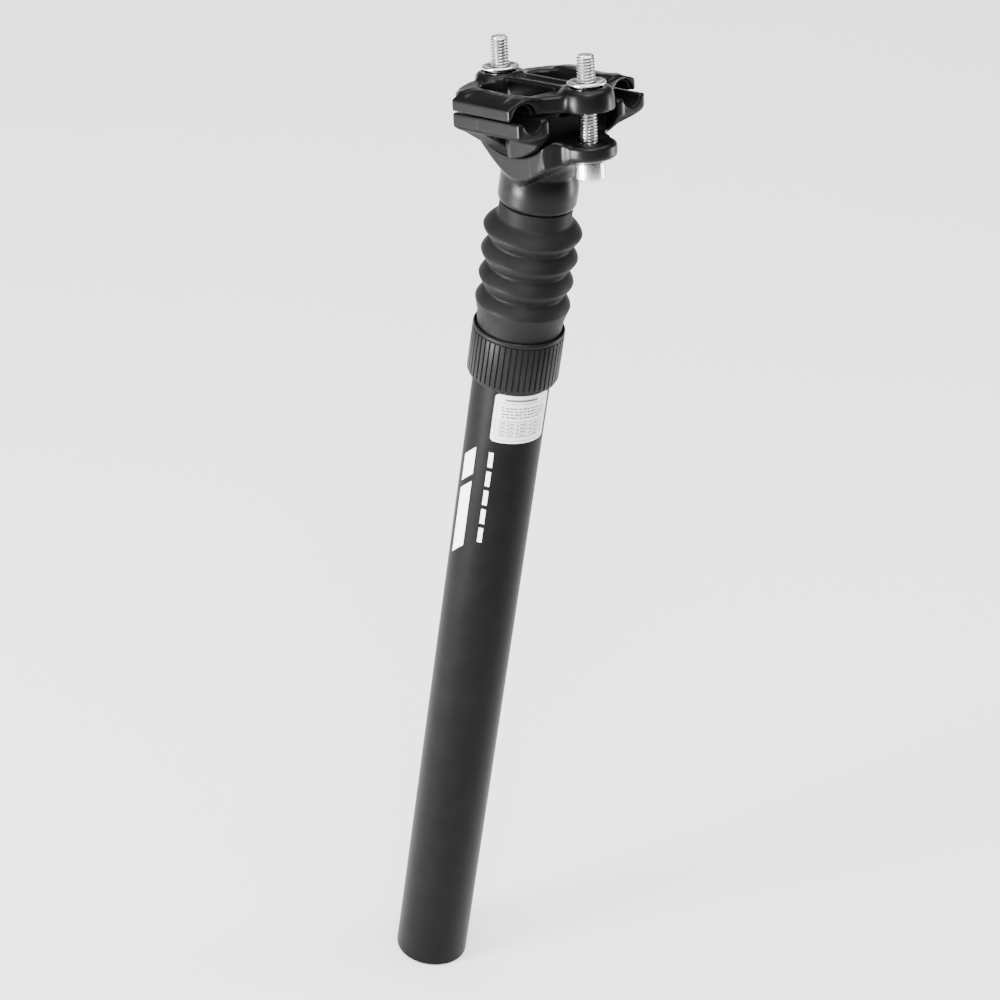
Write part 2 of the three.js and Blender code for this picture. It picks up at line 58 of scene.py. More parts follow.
# The clamp's own frame: u forward along the rails, v left, w up, from the tilt axis.
TILT = np.array(JOINTS["saddle_tilt"]["pos_m"]) / MM
W_AXIS = np.array(JOINTS["clamp_open"]["axis"])
V_AXIS = np.array([0.0, 1.0, 0.0])
U_AXIS = np.cross(V_AXIS, W_AXIS)

# Lengths are in millimetres down to the camera's. The head's round seat is centred on the tilt axis.
CASTING_STEP = 0.4
SEAT_RADIUS = 25.5
RAIL_V, RAIL_W, RAIL_RADIUS = 22.0, -9.3, 3.6
RAIL_GROOVE_PITCH, RAIL_GROOVE_DEPTH = 1.9, 0.3

# For each bolt: its place, its tip, and the web of its ear, from above as [u, v] and from the side as [u, w].
BOLTS = {
    "rear": {
        "u": -22.0,
        "ear_low": -26.2,
        "tip": 8.6,
        "plan": [(-9, -1), (-9, 14.1), (-15.2, 14.1), (-17.4, 12.3), (-19.6, 9.9), (-22, 9.0), (-22, -1)],
        "side": [
            (-9, -17.5),
            (-15.5, -17.7),
            (-17.5, -18.2),
            (-20.5, -19.6),
            (-22, -19.9),
            (-22, -26.1),
            (-19.5, -26.6),
            (-12.7, -29.5),
            (-9, -31),
        ],
    },
    "front": {
        "u": 19.5,
        "ear_low": -25.0,
        "tip": 9.8,
        "plan": [(9, -1), (9, 9), (19.5, 9), (19.5, -1)],
        "side": [(9, -17.5), (16.6, -17.5), (18.5, -18.4), (19.5, -18.7), (19.5, -24.9), (9, -24.9)],
    },
}
EAR_RADIUS, EAR_THICKNESS, EAR_ROUNDING = 9.2, 6.3, 1.4
EAR_BEVEL_RADIUS, EAR_BEVEL_SLOPE = 6.2, 0.5
HOLE_RADIUS, RECESS_RADIUS, RECESS_DEPTH, RECESS_BELOW = 3.6, 5.9, 2.5, 7

NECK_RADIUS, NECK_LOW, NECK_HIGH = 13.4, 326.1, 345
NECK_BORE, BORE_TOP = 11.0, 333.3
WAIST_RADIUS, WAIST_HIGH, WAIST_SLOPE, WAIST_HALF_WIDTH = 11.7, 338.4, 0.55, 11.6
FLARE_LOW, FLARE_LEAN, FLARE_WIDENING = 337.3, 0.295, 0.96
# The block that holds the seat, from the side as [u, w].
SEAT_HALF_WIDTH = 14.1
SEAT_SIDE = [
    (-16.9, -17),
    (-16.8, -18.3),
    (-12.7, -29.5),
    (-7, -33),
    (-2, -36),
    (4, -36),
    (12, -30),
    (16.6, -22.5),
    (17.2, -17),
]

# Sections of the cradle and the clamp are [v, w], plans are [u, v], and boxes go from one corner to another.
CRADLE_REAR, CRADLE_FRONT, CRADLE_GAP = -20, 12.5, 0.3
TROUGH_SECTION = [(15.5, -9.6), (28.2, -9.6), (28.2, -14.1), (26.9, -15.2), (16.5, -18.8), (15.5, -19)]
SLOPE_SECTION = [(10, -10.5), (27.8, -10.5), (27.8, -14.1), (17, -21.4), (12, -24.6)]
CHEEK_PLAN = [(-20, 14.5), (-20, 17.5), (-3.4, 17.5), (-1, 16.8), (1.2, 14.6)]
CRADLE_BODY = ((-14.5, -15, -30), (12.5, 15, -9.6))
CRADLE_POCKET = ((-11.5, -14, -15), (9.5, 14, 5))
CRADLE_NOTCH = ((-30, -1, -40), (-14.5, 15.2, 5))
BOSS_RELIEF_RADIUS, BOSS_RELIEF_FLOOR = 9.7, -11.8

CLAMP_REAR, CLAMP_FRONT, CLAMP_LOW = -15.5, 12.5, -9.1
WING_SECTION = [
    (15.6, -9.1),
    (28.2, -9.1),
    (28.2, -5.5),
    (27.4, -4.9),
    (24.5, -3.9),
    (21.5, -3.2),
    (18.6, -3.0),
    (16.4, -4.2),
    (15.6, -6.5),
]
FRONT_BAR_PLAN = [
    (5.4, 20.5),
    (9.5, 19),
    (14.6, 12.6),
    (15.5, 6),
    (23, 6),
    (21.6, 13.2),
    (18.6, 19.4),
    (14.6, 24.4),
    (8, 26),
]
REAR_BAR_PLAN = [
    (-11.3, 3),
    (-11.3, 16),
    (-8.6, 20),
    (-11, 25),
    (-15.5, 22),
    (-16.5, 14.5),
    (-20.5, 9),
    (-22, 3),
]
FRONT_BAR_TOP, REAR_BAR_TOP = -3.6, -3.5
SPINE = ((-22, -1, -9.1), (19.5, 4.3, -2.3))
SPINE_GROOVE = ((-12, -1, -3.0), (9, 1.8, 2))
BOSS_RADIUS, BOSS_MIDDLE, BOSS_BULGE = 9.0, -7.4, 0.03
BOSS_LOW, BOSS_TOP, BOSS_BORE = -10.2, -1.9, 5.3
LOW_HALF_WIDTH = 12.5
HOOD_RADIUS, HOOD_FRONT = 4.9, -14.5

THREAD_RADIUS, THREAD_ROOT, THREAD_PITCH, THREAD_TIP = 3.0, 2.36, 1.0, 2.35
HEAD_HEIGHT, HEAD_CLEARANCE, SOCKET_RADIUS, SOCKET_DEPTH = 6, 0.3, 2.5, 3
KNURL_RADIUS, KNURL_DEPTH, KNURL_RIDGES = 4.94, 0.06, 32
# Outlines from here on are [radius, height].
NUT_OUTLINE = [
    (3.42, -7),
    (4.4, -7),
    (4.4, -1.2),
    (5.3, -1.2),
    (6.35, -0.8),
    (6.35, -0.3),
    (6.0, 0.0),
    (4.9, -0.05),
    (4.6, -0.3),
    (3.9, -0.3),
    (3.42, -0.6),
]

BOOT_LOW, BOOT_HIGH, BOOT_BORE, BOOT_BASE_BORE, BOOT_WALL = 276.6, 325.8, 11.05, 13.5, 1.2
BOOT_CRESTS, BOOT_VALLEY, BOOT_NECK = [16.45, 16.3, 16.6, 16.85], 13.0, 12.5
BOOT_FIRST_CREST, BOOT_PITCH = 288.4, 9.1
# The boot's base stays narrow enough to be pressed down into the collar's mouth.
BOOT_BASE = [
    (14.75, 276.6),
    (14.75, 279),
    (14.8, 280),
    (15.1, 283.5),
    (15.65, 285.4),
    (16.2, 287.6),
    (16.4, 288.2),
]
RIBS, RIB_ROOT, RIB_CREST = 50, 15.55, 16.05
TUBE_RADIUS, TUBE_BORE, TUBE_LENGTH = 13.6, 12.1, 270
# Patches are [start, end, low, high]: two angles round the tube in degrees, and two heights.
LABEL, LABEL_RADIUS, LABEL_THICKNESS, LABEL_CORNER = (115, 204, 239, 258), 13.74, 0.12, 1.7
STRIPES, STRIPE_SLANT = [(70, 94, 190, 217), (70, 94, 220, 231)], 6.0
BAR, BARS, BAR_PITCH = (117, 124, 197, 203), 5, 7.8
LABEL_PRINT_RADIUS, TUBE_PRINT_RADIUS, PRINT_THICKNESS = 13.77, 13.64, 0.03
SPRING_TURNS, SPRING_RADIUS, SPRING_WIRE, SPRING_LOW, SPRING_HIGH = 14, 9.2, 1.5, 31.9, 172.6

# The camera looks at a point on the tube's axis from this direction, in degrees and metres.
AZIMUTH, ELEVATION, ROLL = 224.1, 31.86, 8.16
DISTANCE, AIM_HEIGHT, SHIFT_RIGHT, SHIFT_UP = 1.0232, 0.19, 0.0041, 0.01434
LENS = 102.6


# ---- mesh helpers ----


def mesh_object(name, points, faces, smooth_angle=35):
    """A mesh object from points in millimetres."""
    mesh = bpy.data.meshes.new(name)
    mesh.from_pydata((np.asarray(points) * MM).tolist(), [], faces)
    mesh.validate()
    mesh.polygons.foreach_set("use_smooth", [True] * len(mesh.polygons))
    mesh.set_sharp_from_angle(angle=math.radians(smooth_angle))
    made = bpy.data.objects.new(name, mesh)
    bpy.context.scene.collection.objects.link(made)
    return made


def stand_for(piece, node, body, material):
    """The piece is shown instead of the CAD node and rides on its body."""
    piece.data.materials.clear()
    piece.data.materials.append(material)
    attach(piece, body)
    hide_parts(node)
    return piece


def partly(piece, material, chosen):
    """The chosen faces of the piece get a second material, here always a darker one that stands for painted
    shade.
    """
    piece.data.materials.append(material)
    piece.data.polygons.foreach_set("material_index", np.asarray(chosen, np.int32))


def face_centres(piece):
    centres = np.empty(len(piece.data.polygons) * 3)
    piece.data.polygons.foreach_get("center", centres)
    return centres.reshape(-1, 3) / MM


def face_rises(piece):
    """How much each face looks up, from -1 to 1."""
    normals = np.empty(len(piece.data.polygons) * 3)
    piece.data.polygons.foreach_get("normal", normals)
    return normals.reshape(-1, 3)[:, 2]


def turned(outline, segments=96):
    """Points and faces of an outline of [radius, height] turned about Z. The outline closes on itself."""
    count = len(outline)
    radius, height = np.array(outline, float).T
    angle = np.arange(segments) * 2 * math.pi / segments
    points = np.stack(
        [
            np.outer(np.cos(angle), radius),
            np.outer(np.sin(angle), radius),
            np.tile(height, (segments, 1)),
        ],
        axis=-1,
    ).reshape(-1, 3)
    faces = []
    for i in range(segments):
        for j in range(count):
            a, b = i * count, (i + 1) % segments * count
            k = (j + 1) % count
            faces.append((a + j, b + j, b + k, a + k))
    return points, faces


def ringed(rings, angle):
    """Points of rings of [radius, height], where a radius is a number or one number for each angle."""
    rows = []
    for radius, height in rings:
        level = np.full(len(angle), height)
        rows.append(np.stack([radius * np.cos(angle), radius * np.sin(angle), level], axis=-1))
    return np.concatenate(rows)


def skin(rows, around, closed=False):
    """Faces between rows of points that each go once round. The last row can join the first."""
    faces = []
    for i in range(rows if closed else rows - 1):
        n = (i + 1) % rows
        for j in range(around):
            k = (j + 1) % around
            faces.append((i * around + j, i * around + k, n * around + k, n * around + j))
    return faces


def end_caps(rows, around):
    last = (rows - 1) * around
    return [tuple(range(around))[::-1], tuple(last + j for j in range(around))]


def rounded(outline, radius, steps=3):
    """The outline with each corner cut by a short arc of about that radius."""
    result = []
    points = [np.array(p, float) for p in outline]
    for i, corner in enumerate(points):
        before = points[i - 1] - corner
        after = points[(i + 1) % len(points)] - corner
        reach = min(radius, np.linalg.norm(before) * 0.45, np.linalg.norm(after) * 0.45)
        start = corner + before / np.linalg.norm(before) * reach
        end = corner + after / np.linalg.norm(after) * reach
        for step in range(steps + 1):
            t = step / steps
            result.append(tuple((1 - t) ** 2 * start + 2 * t * (1 - t) * corner + t * t * end))
    return result


def clamp_to_part(points):
    """Points given as u, v, w, in the part's frame."""
    points = np.asarray(points, float)
    return TILT + points[:, :1] * U_AXIS + points[:, 1:2] * V_AXIS + points[:, 2:3] * W_AXIS


def part_to_clamp(points):
    """The u, v and w of points given in the part's frame."""
    moved = points - TILT
    return moved @ U_AXIS, moved @ V_AXIS, moved @ W_AXIS


# ---- distance fields for the castings ----


def merge(a, b, blend):
    """The union of two fields, with a fillet."""
    share = np.clip(0.5 + 0.5 * (b - a) / blend, 0, 1)
    return b * (1 - share) + a * share - blend * share * (1 - share)


def carve(a, b, blend):
    """Field a less field b, with a rounded edge."""
    return -merge(-a, b, blend)


def keep_within(a, b, blend):
    return -merge(-a, -b, blend)


def box_field(x, y, z, low, high, radius=0.6):
    axes = []
    for value, lower, upper in zip((x, y, z), low, high):
        axes.append(np.abs(value - (lower + upper) / 2) - (upper - lower) / 2 + radius)
    outside = np.sqrt(sum(np.maximum(axis, 0) ** 2 for axis in axes))
    return outside + np.minimum(np.maximum.reduce(axes), 0) - radius


def slab(flat, height, low, high, radius=0.6):
    """A flat shape given by its 2D distance, between two heights."""
    a = flat + radius
    b = np.abs(height - (low + high) / 2) - (high - low) / 2 + radius
    outside = np.sqrt(np.maximum(a, 0) ** 2 + np.maximum(b, 0) ** 2)
    return outside + np.minimum(np.maximum(a, b), 0) - radius


def polygon(x, y, corners):
    """Signed distance to a flat polygon."""
    shape = np.broadcast(x, y).shape
    nearest = np.full(shape, 1e9)
    inside = np.zeros(shape, bool)
    for (ax, ay), (bx, by) in zip(corners, corners[1:] + corners[:1]):
        ex, ey = bx - ax, by - ay
        px, py = x - ax, y - ay
        t = np.clip((px * ex + py * ey) / (ex * ex + ey * ey), 0, 1)
        nearest = np.minimum(nearest, (px - t * ex) ** 2 + (py - t * ey) ** 2)
        if ay != by:
            crosses = ((ay > y) != (by > y)) & (x < ex * (y - ay) / ey + ax)
            inside ^= crosses
    return np.sqrt(nearest) * np.where(inside, -1, 1)


def grid(low, high, step):
    axes = [np.arange(a, b + step, step) for a, b in zip(low, high)]
    return np.meshgrid(*axes, indexing="ij")


def shell_of(field, low, step):
    """Points and faces of the surface where the field is zero, one point for each cell that it crosses."""
    cells = np.array(field.shape) - 1
    total = np.zeros((*cells, 3))
    count = np.zeros(cells)
    for axis in range(3):
        others = [a for a in range(3) if a != axis]
        for first in (0, 1):
            for second in (0, 1):
                corner = [0, 0, 0]
                corner[others[0]], corner[others[1]] = first, second
                start = field[tuple(slice(c, c + n) for c, n in zip(corner, cells))]
                corner[axis] = 1
                end = field[tuple(slice(c, c + n) for c, n in zip(corner, cells))]
                crossed = (start < 0) != (end < 0)
                share = start[crossed] / (start[crossed] - end[crossed])
                total[crossed, axis] += share
                total[crossed, others[0]] += first
                total[crossed, others[1]] += second
                count[crossed] += 1
    active = count > 0
    number = np.full(cells, -1)
    number[active] = np.arange(active.sum())
    places = np.argwhere(active)
    points = (places + total[active] / count[active][:, None]) * step + np.array(low)
    inside = field < 0
    faces = []
    for axis in range(3):
        b, c = (axis + 1) % 3, (axis + 2) % 3
        lower = [slice(1, n) for n in cells]
        upper = list(lower)
        lower[axis] = slice(0, cells[axis])
        upper[axis] = slice(1, cells[axis] + 1)
        changed = inside[tuple(lower)] != inside[tuple(upper)]
        start_inside = inside[tuple(lower)][changed]
        where = np.argwhere(changed)
        where[:, b] += 1
        where[:, c] += 1
        corners = []
        for db, dc in ((1, 1), (0, 1), (0, 0), (1, 0)):
            cell = where.copy()
            cell[:, b] -= db
            cell[:, c] -= dc
            corners.append(number[tuple(cell.T)])
        quads = np.stack(corners, axis=1)
        quads[~start_inside] = quads[~start_inside][:, ::-1]
        faces.append(quads)
    return points, np.concatenate(faces).tolist()


def casting(name, field_of, low, high, to_part=None):
    """The surface of a field inside a box, lightly smoothed."""
    axes = grid(low, high, CASTING_STEP)
    points, faces = shell_of(field_of(*axes), low, CASTING_STEP)
    if to_part is not None:
        points = to_part(points)
    piece = mesh_object(name, points, faces, smooth_angle=50)
    smooth = piece.modifiers.new("settle", "SMOOTH")
    smooth.factor = 0.5
    smooth.iterations = 2
    return piece


# ---- materials ----


class Paint:
    """A node material with one principled shader, and short calls for the usual nodes."""

    def __init__(self, name):
        self.material = bpy.data.materials.new(name)
        self.material.use_nodes = True
        self.tree = self.material.node_tree
        self.shader = self.tree.nodes["Principled BSDF"]
        self.coordinates = self.tree.nodes.new("ShaderNodeTexCoord").outputs["Object"]

    def set(self, **values):
        for key, value in values.items():
            self.shader.inputs[key.replace("_", " ")].default_value = value
        return self

    def link(self, output, key):
        self.tree.links.new(output, self.shader.inputs[key])

    def noise(self, scale, detail=3.0, stretch=None):
        texture = self.tree.nodes.new("ShaderNodeTexNoise")
        texture.inputs["Scale"].default_value = scale
        texture.inputs["Detail"].default_value = detail
        source = self.coordinates
        if stretch:
            mapping = self.tree.nodes.new("ShaderNodeMapping")
            mapping.inputs["Scale"].default_value = stretch
            self.tree.links.new(source, mapping.inputs["Vector"])
            source = mapping.outputs["Vector"]
        self.tree.links.new(source, texture.inputs["Vector"])
        return texture.outputs["Fac"]

    def ranged(self, value, low, high, start=0.3, end=0.7):
        node = self.tree.nodes.new("ShaderNodeMapRange")
        node.inputs["From Min"].default_value = start
        node.inputs["From Max"].default_value = end
        node.inputs["To Min"].default_value = low
        node.inputs["To Max"].default_value = high
        self.tree.links.new(value, node.inputs["Value"])
        return node.outputs["Result"]

    def mixed(self, share, first, second):
        node = self.tree.nodes.new("ShaderNodeMix")
        node.data_type = "RGBA"
        node.inputs["A"].default_value = (*first, 1)
        node.inputs["B"].default_value = (*second, 1)
        self.tree.links.new(share, node.inputs["Factor"])
        return node.outputs["Result"]

    def bump(self, height, strength, distance):
        node = self.tree.nodes.new("ShaderNodeBump")
        node.inputs["Strength"].default_value = strength
        node.inputs["Distance"].default_value = distance
        self.tree.links.new(height, node.inputs["Height"])
        self.link(node.outputs["Normal"], "Normal")


def grained(name, dark, light, rough, grain, depth, **shader):
    """A finish whose colour and roughness drift slowly over the surface, with a fine grain."""
    paint = Paint(name).set(**shader)
    drift = paint.noise(90, 4)
    paint.link(paint.mixed(paint.ranged(drift, 0, 1), dark, light), "Base Color")
    fine = paint.noise(grain, 2)
    paint.link(paint.ranged(fine, *rough), "Roughness")
    paint.bump(fine, 0.35, depth)
    return paint.material


def black_anodised():
    return grained(
        "black anodised",
        dark=(0.003, 0.0031, 0.0032),
        light=(0.0045, 0.0046, 0.0048),
        rough=(0.38, 0.46),
        grain=5000,
        depth=0.000006,
        Specular_IOR_Level=0.06,
    )


def black_casting():
    return grained(
        "black casting",
        dark=(0.0022, 0.0022, 0.0023),
        light=(0.0036, 0.0036, 0.0038),
        rough=(0.28, 0.36),
        grain=1400,
        depth=0.000008,
        Specular_IOR_Level=0.13,
    )


def shaded_casting():
    """A darker, rougher and less glossy casting, as painted shade on the seat, the rail channels, and the
    cradle's inside and underside.
    """
    return grained(
        "casting with painted shade",
        dark=(0.002, 0.002, 0.0021),
        light=(0.003, 0.003, 0.0031),
        rough=(0.5, 0.62),
        grain=1400,
        depth=0.000012,
        Specular_IOR_Level=0.04,
    )


def boot_rubber():
    return grained(
        "boot rubber",
        dark=(0.0058, 0.0059, 0.0061),
        light=(0.0084, 0.0085, 0.0088),
        rough=(0.46, 0.58),
        grain=2600,
        depth=0.000012,
        Specular_IOR_Level=0.08,
    )


def collar_plastic():
    return grained(
        "collar plastic",
        dark=(0.0052, 0.0053, 0.0055),
        light=(0.0078, 0.0079, 0.0082),
        rough=(0.36, 0.48),
        grain=3000,
        depth=0.00001,
        Specular_IOR_Level=0.1,
    )


def bright_zinc():
    return grained(
        "bright zinc",
        dark=(0.62, 0.63, 0.64),
        light=(0.74, 0.74, 0.74),
        rough=(0.22, 0.34),
        grain=2500,
        depth=0.000004,
        Metallic=1.0,
    )


def plain(name, dark, light, rough=(0.45, 0.6), **shader):
    return grained(name, dark, light, rough, grain=3000, depth=0.000008, **shader)


# ---- castings ----


def around_bolt(u, v, bolt):
    return np.hypot(u - bolt["u"], v)


def ear_field(u, v, w, bolt):
    """The lug that a bolt pulls on: a web out of the seat block, with a bevelled round end."""
    around = around_bolt(u, v, bolt)
    low, high = bolt["ear_low"] + 0.1, bolt["ear_low"] + EAR_THICKNESS
    bevel = (low + EAR_BEVEL_SLOPE * (around - EAR_BEVEL_RADIUS) - w) * 0.89
    end = keep_within(slab(around - EAR_RADIUS, w, low, high, EAR_ROUNDING), bevel, 1.0)
    web = keep_within(polygon(u, np.abs(v), bolt["plan"]), polygon(u, w, bolt["side"]), 1.0)
    return merge(end, web, 2.2)


def neck_field(x, y, z):
    """The round neck, with a waist behind above its shoulder."""
    radius = np.hypot(x, y)
    neck = slab(radius - NECK_RADIUS, z, NECK_LOW, NECK_HIGH, 1.6)
    slope = WAIST_RADIUS + WAIST_SLOPE * np.maximum(WAIST_HIGH - z, 0)
    relief = np.maximum.reduce([slope - radius, (np.abs(y) - WAIST_HALF_WIDTH) * 0.7, x * 0.7])
    return carve(neck, relief, 2.2)


def post_head_field(x, y, z):
    u, v, w = part_to_clamp(np.stack([x, y, z], axis=-1))
    above = z - FLARE_LOW
    flare = (np.hypot(x - FLARE_LEAN * above, y) - NECK_RADIUS - FLARE_WIDENING * above) * 0.72
    side = polygon(u, w, SEAT_SIDE)
    draft = 0.04 * (w + 30)
    block = keep_within(slab(side, np.abs(v) - draft, -SEAT_HALF_WIDTH, SEAT_HALF_WIDTH, 1.0), flare, 0.6)
    field = merge(neck_field(x, y, z), block, 0.6)
    for bolt in BOLTS.values():
        field = merge(field, ear_field(u, v, w, bolt), 1.6)
    field = carve(field, np.hypot(u, w) - SEAT_RADIUS, 0.5)
    for bolt in BOLTS.values():
        around = around_bolt(u, v, bolt)
        field = carve(field, np.maximum(around - HOLE_RADIUS, w), 0.3)
        low, high = bolt["ear_low"] - RECESS_BELOW, bolt["ear_low"] + RECESS_DEPTH
        recess = slab(around - RECESS_RADIUS, w, low, high, 0.2)
        field = carve(field, recess, 0.4)
    return carve(field, slab(np.hypot(x, y) - NECK_BORE, z, 300, BORE_TOP, 0.2), 0.3)


def rail_channels(v, w, radius=RAIL_RADIUS):
    return np.hypot(np.abs(v) - RAIL_V, w - RAIL_W) - radius


def ribbed_channels(u, v, w):
    """Rail channels with shallow grooves across them, which grip the rails."""
    wave = 0.5 - 0.5 * np.cos(u * 2 * math.pi / RAIL_GROOVE_PITCH)
    return rail_channels(v, w, RAIL_RADIUS + RAIL_GROOVE_DEPTH * wave)


def lower_cradle_field(u, v, w):
    v = np.abs(v)
    trough = slab(polygon(v, w, TROUGH_SECTION), u, CRADLE_REAR, CRADLE_FRONT, 1.0)
    body = box_field(u, v, w, *CRADLE_BODY, 0.8)
    near = slab(polygon(u, v, CHEEK_PLAN), w, -30, -10.5, 0.5)
    slope = slab(polygon(v, w, SLOPE_SECTION), u, 0.3, 12.4, 0.7)
    field = merge(merge(trough, body, 1.5), merge(near, slope, 1.0), 1.0)
    field = keep_within(field, np.hypot(u, w) - (SEAT_RADIUS - CRADLE_GAP), 0.3)
    field = carve(field, box_field(u, v, w, *CRADLE_POCKET, 1.5), 0.6)
    field = carve(field, box_field(u, v, w, *CRADLE_NOTCH, 0.5), 0.5)
    for bolt in BOLTS.values():
        relief = slab(around_bolt(u, v, bolt) - BOSS_RELIEF_RADIUS, w, BOSS_RELIEF_FLOOR, 5, 0.5)
        field = carve(field, relief, 0.5)
    return carve(field, ribbed_channels(u, v, w), 0.4)


def boss_field(u, v, w, bolt):
    """The bulging round boss that holds a nut."""
    bulge = BOSS_RADIUS - BOSS_BULGE * (w - BOSS_MIDDLE) ** 2
    return slab((around_bolt(u, v, bolt) - bulge) * 0.95, w, BOSS_LOW, BOSS_TOP, 1.3)


def upper_clamp_field(u, v, w):
    side = np.abs(v)
    field = slab(polygon(side, w, WING_SECTION), u, CLAMP_REAR, CLAMP_FRONT, 0.5)
    field = merge(field, slab(polygon(u, side, FRONT_BAR_PLAN), w, CLAMP_LOW, FRONT_BAR_TOP, 1.0), 1.8)
    field = merge(field, slab(polygon(u, side, REAR_BAR_PLAN), w, CLAMP_LOW, REAR_BAR_TOP, 1.0), 1.8)
    for bolt in BOLTS.values():
        field = merge(field, boss_field(u, v, w, bolt), 1.8)
    field = merge(field, box_field(u, side, w, *SPINE, 0.8), 1.2)
    field = carve(field, box_field(u, side, w, *SPINE_GROOVE, 0.5), 0.6)
    for bolt in BOLTS.values():
        field = carve(field, around_bolt(u, v, bolt) - BOSS_BORE, 0.4)
    # The wings are trimmed flat below, and only what is near the middle reaches lower.
    field = np.maximum(field, np.minimum(CLAMP_LOW - w, LOW_HALF_WIDTH - side))
    field = carve(field, ribbed_channels(u, v, w), 0.4)
    hood = np.maximum(rail_channels(v, w, HOOD_RADIUS), u - HOOD_FRONT)
    return carve(field, hood, 0.3)


def make_castings(material, shadow_paint):
    head = casting("post_head_casting", post_head_field, (-36, -17, 324), (32, 17, 362))
    stand_for(head, "post_head", "shaft", material)
    u, _, w = part_to_clamp(face_centres(head))
    # The seat under the cradle gets the darker casting: painted shade.
    partly(head, shadow_paint, np.hypot(u, w) < SEAT_RADIUS + 0.3)
    cradle = casting("lower_cradle_casting", lower_cradle_field, (-22, -30, -27), (14, 30, -8), clamp_to_part)
    stand_for(cradle, "lower_cradle", "cradle", material)
    _, v, w = part_to_clamp(face_centres(cradle))
    # The cradle's inside, its rail channels and the faces that look down get the darker casting: painted
    # shade.
    inside = (rail_channels(v, w) < 0.35) | (np.abs(v) < 15.4)
    partly(cradle, shadow_paint, inside | (face_rises(cradle) < -0.3))
    clamp = casting("upper_clamp_casting", upper_clamp_field, (-33, -30, -13), (30, 30, 0), clamp_to_part)
    stand_for(clamp, "upper_clamp", "clamp", material)
    _, v, w = part_to_clamp(face_centres(clamp))
    # The rail channels get the darker casting: painted shade.
    partly(clamp, shadow_paint, rail_channels(v, w) < 0.35)


# ---- fasteners ----


def threaded_shank(low, high, around=40, rows=9):
    """Points and faces of a threaded rod about the origin, with a chamfered tip."""
    count = int((high - low) / THREAD_PITCH * rows)
    height = np.linspace(low, high, count + 1)
    angle = np.arange(around) * 2 * math.pi / around
    phase = (height[:, None] / THREAD_PITCH - angle[None, :] / (2 * math.pi)) % 1
    ridge = np.clip(1.25 - 2.5 * np.abs(phase - 0.5) * 1.25, 0, 1)
    chamfer = THREAD_TIP + (high - height)[:, None]
    reach = np.minimum(THREAD_ROOT + (THREAD_RADIUS - THREAD_ROOT) * ridge, chamfer)
    level = np.repeat(height[:, None], around, axis=1)
    points = np.stack([reach * np.cos(angle), reach * np.sin(angle), level], axis=-1).reshape(-1, 3)
    return points, skin(count + 1, around) + end_caps(count + 1, around)


def joined(parts):
    points, faces = [], []
    for part_points, part_faces in parts:
        start = sum(len(p) for p in points)
        points.append(np.asarray(part_points))
        faces.extend(tuple(index + start for index in face) for face in part_faces)
    return np.concatenate(points), faces


def socket_head(low, high):
    """A cap screw's head with a fine knurl and a hexagon socket open below."""
    around = 96
    angle = np.arange(around) * 2 * math.pi / around
    hexagon = SOCKET_RADIUS / np.cos((angle + math.pi / 6) % (math.pi / 3) - math.pi / 6)
    knurled = KNURL_RADIUS + KNURL_DEPTH * np.cos(angle * KNURL_RIDGES)
    rings = [
        (hexagon * 0.02, low + SOCKET_DEPTH),
        (hexagon, low + SOCKET_DEPTH),
        (hexagon, low + 0.3),
        (hexagon + 0.3, low),
        (4.5, low),
        (4.9, low + 0.5),
        (knurled, low + 1.0),
        (knurled, high - 0.6),
        (4.8, high - 0.1),
        (4.6, high),
        (0.02, high),
    ]
    return ringed(rings, angle), skin(len(rings), around) + end_caps(len(rings), around)


def thread_roots(piece, bolt):
    """Which faces lie in the grooves of the thread."""
    u, v, w = part_to_clamp(face_centres(piece))
    inside = np.hypot(u - bolt["u"], v) < 2.62
    return inside & (w > bolt["ear_low"]) & (w < bolt["tip"] - 0.6)


def make_fasteners(material, root_shade):
    for end, bolt in BOLTS.items():
        under = bolt["ear_low"] - HEAD_CLEARANCE
        shank = threaded_shank(under - 0.2, bolt["tip"])
        points, faces = joined([shank, socket_head(under - HEAD_HEIGHT, under)])
        place = [bolt["u"], 0, 0]
        screw = mesh_object(f"bolt_{end}_threaded", clamp_to_part(points + place), faces, smooth_angle=40)
        stand_for(screw, f"bolt_{end}", f"bolt_{end}", material)
        # The faces in the thread's grooves get a darker metal: painted shade.
        partly(screw, root_shade, thread_roots(screw, bolt))
        points, faces = turned(rounded(NUT_OUTLINE, 0.12, 2), 72)
        nut = mesh_object(f"nut_{end}_flanged", clamp_to_part(points + place), faces, smooth_angle=30)
        stand_for(nut, f"nut_{end}", f"nut_{end}", material)


# ---- boot and collar ----


def boot_outline():
    """The cone at the foot, a lens for each fold, the neck, and the wall's inside back down."""
    outside = list(BOOT_BASE)
    last = len(BOOT_CRESTS) - 1
    for fold, crest in enumerate(BOOT_CRESTS):
        middle = BOOT_FIRST_CREST + fold * BOOT_PITCH
        above = BOOT_NECK if fold == last else BOOT_VALLEY
        for step in range(-9 if fold else 0, 10):
            t = step / 10
            floor = BOOT_VALLEY if t < 0 else above
            lens = (1 - abs(t) ** 1.35) ** 0.9
            outside.append((floor + (crest - floor) * lens, middle + t * BOOT_PITCH / 2))
    outside += [(BOOT_NECK, 320.6), (BOOT_NECK, 325.4), (12.2, BOOT_HIGH)]
    inside = [(max(radius - BOOT_WALL, BOOT_BORE), height) for radius, height in outside[::3]]
    return outside + [(BOOT_BORE, BOOT_HIGH)] + inside[::-1] + [(BOOT_BASE_BORE, BOOT_LOW)]


def make_boot(material):
    points, faces = turned(boot_outline(), 128)
    boot = mesh_object("bellows_boot", points, faces, smooth_angle=60)
    stand_for(boot, "boot", "tube", material)
    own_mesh(boot)


